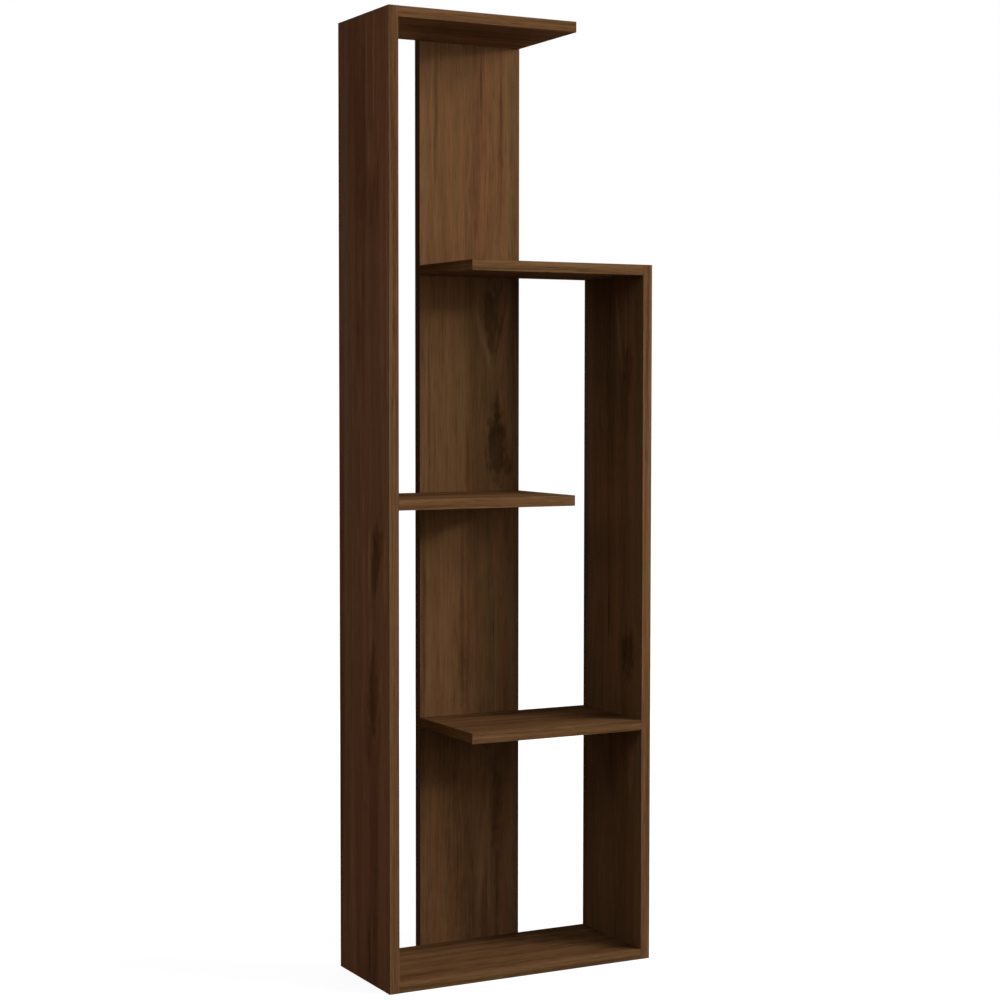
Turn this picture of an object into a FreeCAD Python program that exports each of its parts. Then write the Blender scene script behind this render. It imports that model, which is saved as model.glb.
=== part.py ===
import FreeCAD, Part
import os

import Sketcher

# A zigzag bookshelf of edge-banded boards, held by cam fittings, dowels and screws.
# Millimetres. X runs to the right, Y to the back and Z up from the floor.
# The origin is on the floor under the middle of the whole shelf.

SIZES = {
    # The whole shelf
    "overall_width": 500.0,
    "overall_height": 1612.0,
    "frame_depth": 202.0,
    "back_width": 196.0,
    "bay_height": 385.0,
    # Boards and the bands on their edges
    "board_thickness": 18.0,
    "back_thickness": 18.0,
    "band_thickness": 1.0,
    # Fittings' distances from the nearest board edge
    "fitting_inset": 37.0,
    "screw_inset": 40.0,
    # Gaps around a fitting and beyond its end
    "fit_clearance": 0.1,
    "shank_clearance": 0.5,
    "end_clearance": 1.0,
    # Cam
    "cam_diameter": 14.8,
    "cam_setback": 34.0,
    "cam_below_axis": 4.5,
    "cam_wall": 1.1,
    "cam_play": 0.2,
    "recess_span": 7.0,
    "recess_width": 1.6,
    "recess_depth": 2.5,
    # Cam bolt
    "bolt_thread_diameter": 6.3,
    "bolt_core_diameter": 4.4,
    "bolt_thread_length": 11.0,
    "bolt_thread_pitch": 2.2,
    "bolt_shank_diameter": 7.0,
    "bolt_neck_diameter": 4.0,
    "bolt_head_diameter": 6.8,
    "bolt_head_length": 5.0,
    "bolt_head_taper": 1.4,
    "bolt_head_gap": 0.8,
    # Dowel
    "dowel_diameter": 8.0,
    "dowel_length": 30.0,
    "dowel_face_depth": 12.0,
    "dowel_chamfer": 1.0,
    # Connecting screw
    "screw_length": 50.0,
    "screw_head_diameter": 10.0,
    "screw_thread_diameter": 7.0,
    "screw_core_diameter": 5.0,
    "screw_shank_length": 12.0,
    "screw_thread_pitch": 3.0,
    "screw_tip_length": 4.0,
    "socket_width": 4.0,
    "socket_depth": 3.0,
    # Cover cap
    "cap_rim": 1.5,
    "cap_thickness": 1.2,
    "stem_depth": 2.0,
}

# Proportions and angles that stay when the sizes change
BAND_ROUND_SHARE = 0.6
DOWEL_ROW_SHARE = 0.5
THREAD_BASE_SHARE = 0.6
CAP_BEVEL_SHARE = 0.5
CAM_SLOT_DEGREES = 200
COUNTERSINK_DEGREES = 90
FULL_TURN_DEGREES = 360

doc = FreeCAD.newDocument("zigzag_bookshelf")
sheet = doc.addObject("Spreadsheet::Sheet", "size")
for row, (alias, number) in enumerate(SIZES.items(), 1):
    sheet.set(f"A{row}", alias)
    sheet.set(f"B{row}", str(number))
    sheet.setAlias(f"B{row}", alias)
doc.recompute()

# Faces of the boards, as expressions of the sizes
OUTER_LEFT = "(-size.overall_width / 2)"
OUTER_RIGHT = "(size.overall_width / 2)"
INNER_LEFT = "(size.board_thickness - size.overall_width / 2)"
INNER_RIGHT = "(size.overall_width / 2 - size.board_thickness)"
BACK_LEFT = "(-size.back_width / 2)"
BACK_RIGHT = "(size.back_width / 2)"
FRAME_FRONT = "(-(size.frame_depth + size.back_thickness) / 2)"
FRAME_MIDDLE = "(-size.back_thickness / 2)"
FRAME_REAR = "((size.frame_depth - size.back_thickness) / 2)"
BACK_REAR = "((size.frame_depth + size.back_thickness) / 2)"
HALF_BOARD = "(size.board_thickness / 2)"
HALF_CORE_DEPTH = "(size.frame_depth / 2 - size.band_thickness)"
BETWEEN_BANDS = "(size.frame_depth - 2 * size.band_thickness)"

# Undersides of the flat boards
LEVELS = {
    "bottom_panel": "0",
    "lower_right_shelf": "(size.board_thickness + size.bay_height)",
    "middle_left_shelf": "((size.overall_height - size.board_thickness) / 2)",
    "upper_right_shelf": "(size.overall_height - 2 * size.board_thickness - size.bay_height)",
    "top_shelf": "(size.overall_height - size.board_thickness)",
}
RIGHT_HEIGHT = f"({LEVELS['upper_right_shelf']} + size.board_thickness)"
LEFT_BOARDS = ("top_shelf", "middle_left_shelf", "bottom_panel")
RIGHT_BOARDS = ("upper_right_shelf", "lower_right_shelf", "bottom_panel")

# Rows of fittings, measured from the middle of the depth or of the width
CAM_ROW = "(size.frame_depth / 2 - size.fitting_inset)"
DOWEL_ROW = f"({DOWEL_ROW_SHARE} * {CAM_ROW})"
SCREW_ROW = "(size.back_width / 2 - size.screw_inset)"
BOTH_SIDES = (-1, 1)

# Bores that follow from their fittings
CAM_DEPTH = f"({HALF_BOARD} + size.cam_below_axis)"
CAM_BORE = "(size.cam_diameter + 2 * size.fit_clearance)"
BOLT_BORE = "(size.bolt_shank_diameter + 2 * size.shank_clearance)"
BOLT_THREAD_BORE = "(size.bolt_thread_diameter + 2 * size.fit_clearance)"
BOLT_THREAD_DEPTH = "(size.bolt_thread_length + size.end_clearance)"
DOWEL_BORE = "(size.dowel_diameter + 2 * size.fit_clearance)"
DOWEL_FACE_DEPTH = "(size.dowel_face_depth + size.end_clearance)"
DOWEL_END_DEPTH = "(size.dowel_length - size.dowel_face_depth + size.end_clearance)"
SCREW_BORE = "(size.screw_thread_diameter + 2 * size.fit_clearance)"
SCREW_END_DEPTH = "(size.screw_length - size.back_thickness + size.end_clearance)"

TO_RIGHT = FreeCAD.Vector(1, 0, 0)
TO_LEFT = FreeCAD.Vector(-1, 0, 0)
TO_BACK = FreeCAD.Vector(0, 1, 0)
TO_FRONT = FreeCAD.Vector(0, -1, 0)
UP = FreeCAD.Vector(0, 0, 1)
DOWN = FreeCAD.Vector(0, 0, -1)

nodes = []


# Sketches and features

def value(expression):
    """The number that an expression of sheet sizes comes to."""
    return float(sheet.evalExpression(expression))


def aim(x_axis, z_axis):
    """The rotation that points a piece's own X and Z axes along two directions."""
    return FreeCAD.Rotation(x_axis, FreeCAD.Vector(), z_axis, "XZY")


def put(thing, place, turn=FreeCAD.Rotation()):
    """Turns a thing and binds its position to three expressions."""
    thing.Placement = FreeCAD.Placement(FreeCAD.Vector(), turn)
    for axis, expression in zip("xyz", place):
        thing.setExpression(f"Placement.Base.{axis}", expression)


def new_body(name):
    """An empty body, named and labelled alike."""
    body = doc.addObject("PartDesign::Body", name)
    body.Label = name
    return body


def origin_feature(body, role):
    """One of a body's own origin planes or axes."""
    return next(feature for feature in body.Origin.OriginFeatures if feature.Role == role)


def sketch_on(body, name, role, offset="0"):
    """A sketch on an origin plane of the body, moved along that plane's normal."""
    sketch = body.newObject("Sketcher::SketchObject", name)
    sketch.AttachmentSupport = [(origin_feature(body, role), "")]
    sketch.MapMode = "FlatFace"
    sketch.setExpression("AttachmentOffset.Base.z", offset)
    return sketch


def fix_point(sketch, curve, point, across, along):
    """Ties a sketch point to two expressions, measured from the sketch's origin."""
    for kind, axis, expression in (("DistanceX", -2, across), ("DistanceY", -1, along)):
        if expression == "0":
            sketch.addConstraint(Sketcher.Constraint("PointOnObject", curve, point, axis))
        else:
            distance = Sketcher.Constraint(kind, -1, 1, curve, point, value(expression))
            number = sketch.addConstraint(distance)
            sketch.setExpression(f"Constraints[{number}]", expression)


def draw_outline(sketch, points):
    """A closed outline of straight lines through points given as pairs of expressions."""
    corners = [FreeCAD.Vector(value(across), value(along), 0) for across, along in points]
    count = len(points)
    for index in range(count):
        sketch.addGeometry(Part.LineSegment(corners[index], corners[(index + 1) % count]), False)
    for index in range(count):
        sketch.addConstraint(Sketcher.Constraint("Coincident", index, 2, (index + 1) % count, 1))
    for index, (across, along) in enumerate(points):
        fix_point(sketch, index, 1, across, along)


def draw_rectangle(sketch, low_across, high_across, low_along, high_along):
    """A rectangle between four expressions."""
    low_side = [(low_across, low_along), (high_across, low_along)]
    high_side = [(high_across, high_along), (low_across, high_along)]
    draw_outline(sketch, low_side + high_side)


def draw_plus(sketch, span, width):
    """A plus sign centred on the sketch's origin."""
    tip, side = f"{span} / 2", f"{width} / 2"
    quarter = [(tip, side), (side, side), (side, tip)]
    points = []
    for across_sign, along_sign in ((1, 1), (-1, 1), (-1, -1), (1, -1)):
        corners = quarter if across_sign == along_sign else quarter[::-1]
        points += [(f"{across_sign} * {across}", f"{along_sign} * {along}") for across, along in corners]
    draw_outline(sketch, points)


def draw_hexagon(sketch, flats):
    """A regular hexagon centred on the sketch's origin, given across its flats."""
    half_side = f"{flats} / 2 * tan(30)"
    corner = f"{flats} / 2 / cos(30)"
    upper = [(corner, "0"), (half_side, f"{flats} / 2"), (f"-{half_side}", f"{flats} / 2")]
    lower = [(f"-{corner}", "0"), (f"-{half_side}", f"-{flats} / 2"), (half_side, f"-{flats} / 2")]
    draw_outline(sketch, upper + lower)


def draw_circles(sketch, centres, diameter):
    """Equal circles at centres given as pairs of expressions."""
    for across, along in centres:
        middle = FreeCAD.Vector(value(across), value(along), 0)
        circle = sketch.addGeometry(Part.Circle(middle, UP, value(diameter) / 2), False)
        number = sketch.addConstraint(Sketcher.Constraint("Diameter", circle, value(diameter)))
        sketch.setExpression(f"Constraints[{number}]", diameter)
        fix_point(sketch, circle, 3, across, along)


def pad(body, name, sketch, length, reverse=False):
    """Adds a sketch drawn out to a length."""
    feature = body.newObject("PartDesign::Pad", name)
    feature.Profile = sketch
    feature.Reversed = reverse
    feature.setExpression("Length", length)
    doc.recompute()
    return feature


def check_cut(feature, before, sketch, depth):
    """Stops the build when a cut took away less than half of its outline times its depth."""
    removed = before - feature.Shape.Volume
    expected = sum(Part.Face(wire).Area for wire in sketch.Shape.Wires) * depth
    if removed < expected / 2:
        raise RuntimeError(f"{feature.Label} removed {removed:.1f} of {expected:.1f} cubic millimetres")


def pocket(body, name, sketch, depth, reverse=False):
    """Cuts a sketch into the body to a depth."""
    before = body.Shape.Volume
    feature = body.newObject("PartDesign::Pocket", name)
    feature.Profile = sketch
    feature.Reversed = reverse
    feature.setExpression("Length", depth)
    doc.recompute()
    check_cut(feature, before, sketch, value(depth))


def drill(body, name, plane, centres, diameter, depth, reverse):
    """Round blind bores; the plane is its role and its offset."""
    sketch = sketch_on(body, f"{name}_marks", *plane)
    draw_circles(sketch, centres, diameter)
    pocket(body, name, sketch, depth, reverse)


def revolve(body, name, points, kind="Revolution", degrees=FULL_TURN_DEGREES):
    """Turns an outline of lengths and radii about the body's X axis."""
    sketch = sketch_on(body, f"{name}_outline", "XZ_Plane")
    draw_outline(sketch, points)
    feature = body.newObject(f"PartDesign::{kind}", name)
    feature.Profile = sketch
    feature.ReferenceAxis = (sketch, ["H_Axis"])
    feature.Angle = degrees
    feature.Midplane = degrees < FULL_TURN_DEGREES
    doc.recompute()
    return feature


def add_thread(body, start, length, pitch, core, crest):
    """Ring ridges along a turned body, spaced like its thread."""
    base = f"{THREAD_BASE_SHARE} * {pitch}"
    triangle = [
        (start, f"{core} / 4"),
        (f"{start} + {base}", f"{core} / 4"),
        (f"{start} + {base} / 2", f"{crest} / 2"),
    ]
    ridge = revolve(body, "ridge", triangle)
    count = f"floor({length} / {pitch})"
    thread = body.newObject("PartDesign::LinearPattern", "thread")
    thread.Originals = [ridge]
    thread.Direction = (origin_feature(body, "X_Axis"), [""])
    thread.setExpression("Length", f"{pitch} * ({count} - 1)")
    thread.setExpression("Occurrences", count)
    body.Tip = thread
    doc.recompute()


# Boards

def joints_of(name):
    """Where a flat board meets side panels: the end face, and the sign of the way the board runs from it."""
    joints = []
    if name in LEFT_BOARDS:
        joints.append((INNER_LEFT, 1))
    if name in RIGHT_BOARDS:
        joints.append((INNER_RIGHT, -1))
    return joints


def ends_of(name):
    """The finished left and right ends of a flat board."""
    left = INNER_LEFT if name in LEFT_BOARDS else BACK_LEFT
    right = INNER_RIGHT if name in RIGHT_BOARDS else BACK_RIGHT
    return left, right


def has_cams_on_top(name):
    """Only the top shelf is locked from above, where its cams are out of sight."""
    return name == "top_shelf"


def flat_board(name):
    """A shelf or the bottom panel, with the bores of its fittings."""
    body = new_body(name)
    put(body, ("0", FRAME_MIDDLE, LEVELS[name]))
    left, right = ends_of(name)
    core_left = left if left == INNER_LEFT else f"{left} + size.band_thickness"
    core_right = right if right == INNER_RIGHT else f"{right} - size.band_thickness"
    outline = sketch_on(body, "outline", "XY_Plane")
    draw_rectangle(outline, core_left, core_right, f"-{HALF_CORE_DEPTH}", HALF_CORE_DEPTH)
    pad(body, "core", outline, "size.board_thickness")
    for end, run in joints_of(name):
        drill_joint(body, end, run)
    rear = ("XZ_Plane", f"-{HALF_CORE_DEPTH}")
    screws = [(f"{side} * {SCREW_ROW}", HALF_BOARD) for side in BOTH_SIDES]
    drill(body, "screw_bores", rear, screws, SCREW_BORE, f"{SCREW_END_DEPTH} - size.band_thickness", True)
    dowels = [("0", HALF_BOARD)]
    drill(body, "rear_dowel_bore", rear, dowels, DOWEL_BORE, f"{DOWEL_END_DEPTH} - size.band_thickness", True)
    nodes.append(body)


def drill_joint(body, end, run):
    """Bores at one end of a flat board: bolts, dowels, and cams in its face."""
    on_top = has_cams_on_top(body.Label)
    end_plane = ("YZ_Plane", end)
    face_plane = ("XY_Plane", "size.board_thickness" if on_top else "0")
    bolts = [(f"{side} * {CAM_ROW}", HALF_BOARD) for side in BOTH_SIDES]
    dowels = [(f"{side} * {DOWEL_ROW}", HALF_BOARD) for side in BOTH_SIDES]
    cams = [(f"{end} + {run} * size.cam_setback", f"{side} * {CAM_ROW}") for side in BOTH_SIDES]
    drill(body, "bolt_bores", end_plane, bolts, BOLT_BORE, "size.cam_setback", run > 0)
    drill(body, "dowel_bores", end_plane, dowels, DOWEL_BORE, DOWEL_END_DEPTH, run > 0)
    drill(body, "cam_bores", face_plane, cams, CAM_BORE, CAM_DEPTH, not on_top)


def side_panel(name, inner_face, height, boards):
    """An upright whose inner face has the bores of the boards that meet it."""
    is_right = inner_face == INNER_RIGHT
    body = new_body(name)
    put(body, (inner_face, FRAME_MIDDLE, "0"))
    outline = sketch_on(body, "outline", "YZ_Plane")
    core_height = f"{height} - size.band_thickness"
    draw_rectangle(outline, f"-{HALF_CORE_DEPTH}", HALF_CORE_DEPTH, "0", core_height)
    pad(body, "core", outline, "size.board_thickness", not is_right)
    face_plane = ("YZ_Plane", "0")
    heights = [f"{LEVELS[board]} + {HALF_BOARD}" for board in boards]
    bolts = [(f"{side} * {CAM_ROW}", height) for height in heights for side in BOTH_SIDES]
    dowels = [(f"{side} * {DOWEL_ROW}", height) for height in heights for side in BOTH_SIDES]
    drill(body, "bolt_bores", face_plane, bolts, BOLT_THREAD_BORE, BOLT_THREAD_DEPTH, is_right)
    drill(body, "dowel_bores", face_plane, dowels, DOWEL_BORE, DOWEL_FACE_DEPTH, is_right)
    nodes.append(body)


def back_panel():
    """The upright behind the shelves, with dowel bores and countersunk screw holes for each flat board."""
    body = new_body("back_panel")
    put(body, ("0", FRAME_REAR, "0"))
    outline = sketch_on(body, "outline", "XZ_Plane")
    half_core_width = "(size.back_width / 2 - size.band_thickness)"
    core_height = "size.overall_height - size.band_thickness"
    draw_rectangle(outline, f"-{half_core_width}", half_core_width, "0", core_height)
    pad(body, "core", outline, "size.back_thickness", True)
    heights = [f"{level} + {HALF_BOARD}" for level in LEVELS.values()]
    dowels = [("0", height) for height in heights]
    drill(body, "dowel_bores", ("XZ_Plane", "0"), dowels, DOWEL_BORE, DOWEL_FACE_DEPTH, False)
    countersink(body, [(f"{side} * {SCREW_ROW}", height) for height in heights for side in BOTH_SIDES])
    nodes.append(body)


def countersink(body, centres):
    """Screw holes through the back panel, countersunk from behind."""
    marks = sketch_on(body, "screw_marks", "XZ_Plane", "-size.back_thickness")
    draw_circles(marks, centres, SCREW_BORE)
    doc.recompute()
    before = body.Shape.Volume
    holes = body.newObject("PartDesign::Hole", "screw_holes")
    holes.Profile = marks
    holes.Reversed = True
    holes.DepthType = "ThroughAll"
    holes.HoleCutType = "Countersink"
    holes.HoleCutCustomValues = True
    holes.HoleCutCountersinkAngle = COUNTERSINK_DEGREES
    holes.setExpression("Diameter", SCREW_BORE)
    holes.setExpression("HoleCutDiameter", "size.screw_head_diameter + 2 * size.fit_clearance")
    doc.recompute()
    check_cut(holes, before, marks, value("size.back_thickness"))


# Edge bands

def outer_long_edges(strip):
    """The names of a strip's two edges that run along X on its outer face."""
    box = strip.BoundBox
    names = []
    for number, edge in enumerate(strip.Edges, 1):
        runs_along = edge.BoundBox.XLength > box.XLength / 2
        if runs_along and edge.CenterOfMass.z > box.Center.z:
            names.append(f"Edge{number}")
    return names


def edge_band(name, length, place, along, outward, thickness="size.board_thickness"):
    """A strip with rounded outer edges: its X runs along the edge, Y across the board and Z outward."""
    body = new_body(name)
    put(body, place, aim(along, outward))
    outline = sketch_on(body, "outline", "XY_Plane")
    draw_rectangle(outline, "0", length, "0", thickness)
    strip = pad(body, "strip", outline, "size.band_thickness")
    rounding = body.newObject("PartDesign::Fillet", "rounding")
    rounding.Base = (strip, outer_long_edges(strip.Shape))
    rounding.setExpression("Radius", f"{BAND_ROUND_SHARE} * size.band_thickness")
    doc.recompute()
    nodes.append(body)
    return body


def flat_board_bands(name):
    """Front and rear bands of a flat board, and one on its free end."""
    left, right = ends_of(name)
    length = f"{right} - {left}"
    front_face = f"{FRAME_FRONT} + size.band_thickness"
    rear_face = f"{FRAME_REAR} - size.band_thickness"
    level = LEVELS[name]
    edge_band(f"{name}_front_band", length, (left, front_face, level), TO_RIGHT, TO_FRONT)
    rear = edge_band(f"{name}_rear_band", length, (right, rear_face, level), TO_LEFT, TO_BACK)
    screws = [(f"{right} - {side} * {SCREW_ROW}", HALF_BOARD) for side in BOTH_SIDES]
    dowels = [(right, HALF_BOARD)]
    inner_plane = ("XY_Plane", "0")
    drill(rear, "screw_holes", inner_plane, screws, SCREW_BORE, "size.band_thickness", True)
    drill(rear, "dowel_hole", inner_plane, dowels, DOWEL_BORE, "size.band_thickness", True)
    if right == BACK_RIGHT:
        place = (f"{right} - size.band_thickness", front_face, level)
        edge_band(f"{name}_end_band", BETWEEN_BANDS, place, TO_BACK, TO_RIGHT)
    if left == BACK_LEFT:
        place = (f"{left} + size.band_thickness", rear_face, level)
        edge_band(f"{name}_end_band", BETWEEN_BANDS, place, TO_FRONT, TO_LEFT)


def side_panel_bands(name, left_face, right_face, height):
    """Front, rear and top bands of a side panel."""
    front_face = f"{FRAME_FRONT} + size.band_thickness"
    rear_face = f"{FRAME_REAR} - size.band_thickness"
    top_face = f"{height} - size.band_thickness"
    edge_band(f"{name}_front_band", height, (right_face, front_face, "0"), UP, TO_FRONT)
    edge_band(f"{name}_rear_band", height, (left_face, rear_face, "0"), UP, TO_BACK)
    edge_band(f"{name}_top_band", BETWEEN_BANDS, (right_face, front_face, top_face), TO_BACK, UP)


def back_panel_bands():
    """Left, right and top bands of the back panel."""
    height = "size.overall_height"
    thickness = "size.back_thickness"
    left_face = f"{BACK_LEFT} + size.band_thickness"
    right_face = f"{BACK_RIGHT} - size.band_thickness"
    top_face = f"{height} - size.band_thickness"
    top_length = "size.back_width - 2 * size.band_thickness"
    edge_band("back_panel_left_band", height, (left_face, FRAME_REAR, "0"), UP, TO_LEFT, thickness)
    edge_band("back_panel_right_band", height, (right_face, BACK_REAR, "0"), UP, TO_RIGHT, thickness)
    edge_band("back_panel_top_band", top_length, (left_face, FRAME_REAR, top_face), TO_RIGHT, UP, thickness)


# Fittings, each drawn once with its axis along X

def cam():
    """A cam: X points out of the board's face, and the bolt comes in from the side of minus Z."""
    body = new_body("cam")
    radius = "size.cam_diameter / 2"
    beyond = "(size.cam_diameter / 2 + size.fit_clearance)"
    revolve(body, "disc", [(f"-{CAM_DEPTH}", "0"), (f"-{CAM_DEPTH}", radius), ("0", radius), ("0", "0")])
    head_room = "(size.bolt_head_diameter / 2 + size.cam_play)"
    neck_room = "(size.bolt_neck_diameter / 2 + size.cam_play)"
    entry = [(f"-{HALF_BOARD}", "0")]
    drill(body, "head_entry", ("XZ_Plane", "0"), entry, f"2 * {head_room}", beyond, False)
    inside = f"({radius} - size.cam_wall)"
    for name, room, reach in (("head_cavity", head_room, inside), ("neck_slot", neck_room, beyond)):
        low, high = f"-{HALF_BOARD} - {room}", f"-{HALF_BOARD} + {room}"
        outline = [(low, "0"), (high, "0"), (high, f"-{reach}"), (low, f"-{reach}")]
        revolve(body, name, outline, "Groove", CAM_SLOT_DEGREES)
    recess = sketch_on(body, "recess_outline", "YZ_Plane")
    draw_plus(recess, "size.recess_span", "size.recess_width")
    pocket(body, "driver_recess", recess, "size.recess_depth")
    return body


def cam_bolt():
    """A bolt for a cam: its thread stands in the side panel behind X = 0, its head in the cam."""
    body = new_body("cam_bolt")
    start = "-size.bolt_thread_length"
    neck = "size.cam_setback - size.cam_diameter / 2 - size.end_clearance"
    head_end = "(size.cam_setback - size.bolt_head_gap)"
    head = f"({head_end} - size.bolt_head_length)"
    core_radius, shank_radius = "size.bolt_core_diameter / 2", "size.bolt_shank_diameter / 2"
    neck_radius, head_radius = "size.bolt_neck_diameter / 2", "size.bolt_head_diameter / 2"
    revolve(body, "turned", [
        (start, "0"),
        (start, core_radius),
        ("0", core_radius),
        ("0", shank_radius),
        (neck, shank_radius),
        (neck, neck_radius),
        (head, neck_radius),
        (f"{head} + size.bolt_head_taper", head_radius),
        (f"{head_end} - size.bolt_head_taper", head_radius),
        (head_end, neck_radius),
        (head_end, "0"),
    ])
    length, pitch = "size.bolt_thread_length", "size.bolt_thread_pitch"
    add_thread(body, start, length, pitch, "size.bolt_core_diameter", "size.bolt_thread_diameter")
    return body


def dowel():
    """A chamfered dowel that stands in a panel's face behind X = 0."""
    body = new_body("dowel")
    start = "-size.dowel_face_depth"
    end = "(size.dowel_length - size.dowel_face_depth)"
    radius = "size.dowel_diameter / 2"
    tip_radius = f"{radius} - size.dowel_chamfer"
    revolve(body, "turned", [
        (start, "0"),
        (start, tip_radius),
        (f"{start} + size.dowel_chamfer", radius),
        (f"{end} - size.dowel_chamfer", radius),
        (end, tip_radius),
        (end, "0"),
    ])
    return body


def connecting_screw():
    """A countersunk screw with a hexagon socket: X runs from its head to its tip."""
    body = new_body("connecting_screw")
    head_radius, shank_radius = "size.screw_head_diameter / 2", "size.screw_thread_diameter / 2"
    core_radius = "size.screw_core_diameter / 2"
    shank_end = "size.screw_shank_length"
    tip_start = "(size.screw_length - size.screw_tip_length)"
    revolve(body, "turned", [
        ("0", "0"),
        ("0", head_radius),
        (f"{head_radius} - {shank_radius}", shank_radius),
        (shank_end, shank_radius),
        (shank_end, core_radius),
        (tip_start, core_radius),
        ("size.screw_length", "0"),
    ])
    socket = sketch_on(body, "socket_outline", "YZ_Plane")
    draw_hexagon(socket, "size.socket_width")
    pocket(body, "socket", socket, "size.socket_depth", True)
    length = f"({tip_start} - {shank_end})"
    crest = "size.screw_thread_diameter"
    add_thread(body, shank_end, length, "size.screw_thread_pitch", "size.screw_core_diameter", crest)
    return body


def cover_cap():
    """A flat cap with a stem that clips into a cam's driver recess: X points out of the board's face."""
    body = new_body("cover_cap")
    radius = f"({CAM_BORE} / 2 + size.cap_rim)"
    bevel = f"{CAP_BEVEL_SHARE} * size.cap_thickness"
    revolve(body, "disc", [
        ("0", "0"),
        ("0", radius),
        (f"size.cap_thickness - {bevel}", radius),
        ("size.cap_thickness", f"{radius} - {bevel}"),
        ("size.cap_thickness", "0"),
    ])
    stem = sketch_on(body, "stem_outline", "YZ_Plane")
    span = "(size.recess_span - 2 * size.cam_play)"
    width = "(size.recess_width - 2 * size.cam_play)"
    draw_plus(stem, span, width)
    pad(body, "stem", stem, "size.stem_depth", True)
    return body


def place_copies(label, pattern, places):
    """One node that holds a copy of the pattern piece at each place and turn."""
    links = []
    for number, (place, turn) in enumerate(places, 1):
        link = doc.addObject("App::Link", f"{label}_{number}")
        link.LinkedObject = pattern
        put(link, place, turn)
        links.append(link)
    group = doc.addObject("Part::Compound", label)
    group.Label = label
    group.Links = links
    nodes.append(group)


def cam_places(name):
    """Where the cams and caps of a flat board sit on its locked face."""
    on_top = has_cams_on_top(name)
    outward = UP if on_top else DOWN
    face = f"{LEVELS[name]} + size.board_thickness" if on_top else LEVELS[name]
    places = []
    for end, run in joints_of(name):
        turn = aim(outward, TO_RIGHT * run)
        for side in BOTH_SIDES:
            across = f"{FRAME_MIDDLE} + {side} * {CAM_ROW}"
            places.append(((f"{end} + {run} * size.cam_setback", across, face), turn))
    return places


def joint_places(inner_face, run, boards, fitting_row):
    """Where a row of bolts or dowels stands on a side panel's inner face."""
    places = []
    for board in boards:
        height = f"{LEVELS[board]} + {HALF_BOARD}"
        for side in BOTH_SIDES:
            across = f"{FRAME_MIDDLE} + {side} * {fitting_row}"
            places.append(((inner_face, across, height), aim(TO_RIGHT * run, UP)))
    return places


def back_places(face, offsets):
    """Where fittings stand on a face of the back panel and point to the front."""
    places = []
    for level in LEVELS.values():
        for offset in offsets:
            places.append(((offset, face, f"{level} + {HALF_BOARD}"), aim(TO_FRONT, UP)))
    return places


# Assembly

side_panel("left_side_panel", INNER_LEFT, "size.overall_height", LEFT_BOARDS)
side_panel("right_side_panel", INNER_RIGHT, RIGHT_HEIGHT, RIGHT_BOARDS)
back_panel()
for board in LEVELS:
    flat_board(board)

side_panel_bands("left_side", OUTER_LEFT, INNER_LEFT, "size.overall_height")
side_panel_bands("right_side", INNER_RIGHT, OUTER_RIGHT, RIGHT_HEIGHT)
back_panel_bands()
for board in LEVELS:
    flat_board_bands(board)

cam_pattern = cam()
bolt_pattern = cam_bolt()
dowel_pattern = dowel()
screw_pattern = connecting_screw()
cap_pattern = cover_cap()
for board in LEVELS:
    place_copies(f"{board}_cams", cam_pattern, cam_places(board))
    if board != "bottom_panel":
        place_copies(f"{board}_cam_caps", cap_pattern, cam_places(board))
left_joints = (INNER_LEFT, 1, LEFT_BOARDS)
right_joints = (INNER_RIGHT, -1, RIGHT_BOARDS)
for side_name, joints in (("left_side", left_joints), ("right_side", right_joints)):
    place_copies(f"{side_name}_cam_bolts", bolt_pattern, joint_places(*joints, CAM_ROW))
    place_copies(f"{side_name}_dowels", dowel_pattern, joint_places(*joints, DOWEL_ROW))
place_copies("back_panel_dowels", dowel_pattern, back_places(FRAME_REAR, ["0"]))
screw_offsets = [f"{side} * {SCREW_ROW}" for side in BOTH_SIDES]
place_copies("back_panel_screws", screw_pattern, back_places(BACK_REAR, screw_offsets))
doc.recompute()

# Check every object, then write one file for each node
for thing in doc.Objects:
    if {"Invalid", "Error"} & set(thing.State):
        raise RuntimeError(f"{thing.Label} is {thing.State}")
os.makedirs("parts", exist_ok=True)
for node in nodes:
    if node.Shape.isNull() or not node.Shape.isValid():
        raise RuntimeError(f"{node.Label} has no valid shape")
    node.Shape.exportStep(f"parts/{node.Label}.step")
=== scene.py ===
"""Dresses the zigzag bookshelf: its walnut-decor boards and edge bands, and the fittings that hold them."""

from collections import namedtuple
import math

import bmesh
import bpy
from mathutils import Matrix, Vector


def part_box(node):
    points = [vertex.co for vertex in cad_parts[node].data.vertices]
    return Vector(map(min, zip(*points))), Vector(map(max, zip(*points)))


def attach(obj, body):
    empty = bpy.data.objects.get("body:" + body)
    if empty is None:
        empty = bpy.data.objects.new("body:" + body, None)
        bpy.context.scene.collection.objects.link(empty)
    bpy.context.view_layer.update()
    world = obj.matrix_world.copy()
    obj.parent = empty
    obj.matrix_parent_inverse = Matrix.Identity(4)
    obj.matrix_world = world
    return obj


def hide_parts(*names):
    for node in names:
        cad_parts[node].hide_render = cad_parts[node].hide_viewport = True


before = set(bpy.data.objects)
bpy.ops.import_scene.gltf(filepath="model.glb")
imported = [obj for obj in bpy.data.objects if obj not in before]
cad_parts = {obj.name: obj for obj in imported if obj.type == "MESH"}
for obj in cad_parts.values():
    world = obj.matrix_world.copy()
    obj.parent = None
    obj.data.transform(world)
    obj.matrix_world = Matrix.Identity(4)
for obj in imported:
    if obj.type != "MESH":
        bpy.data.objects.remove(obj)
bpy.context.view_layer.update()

X_AXIS = Vector((1, 0, 0))
Y_AXIS = Vector((0, 1, 0))
Z_AXIS = Vector((0, 0, 1))
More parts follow.
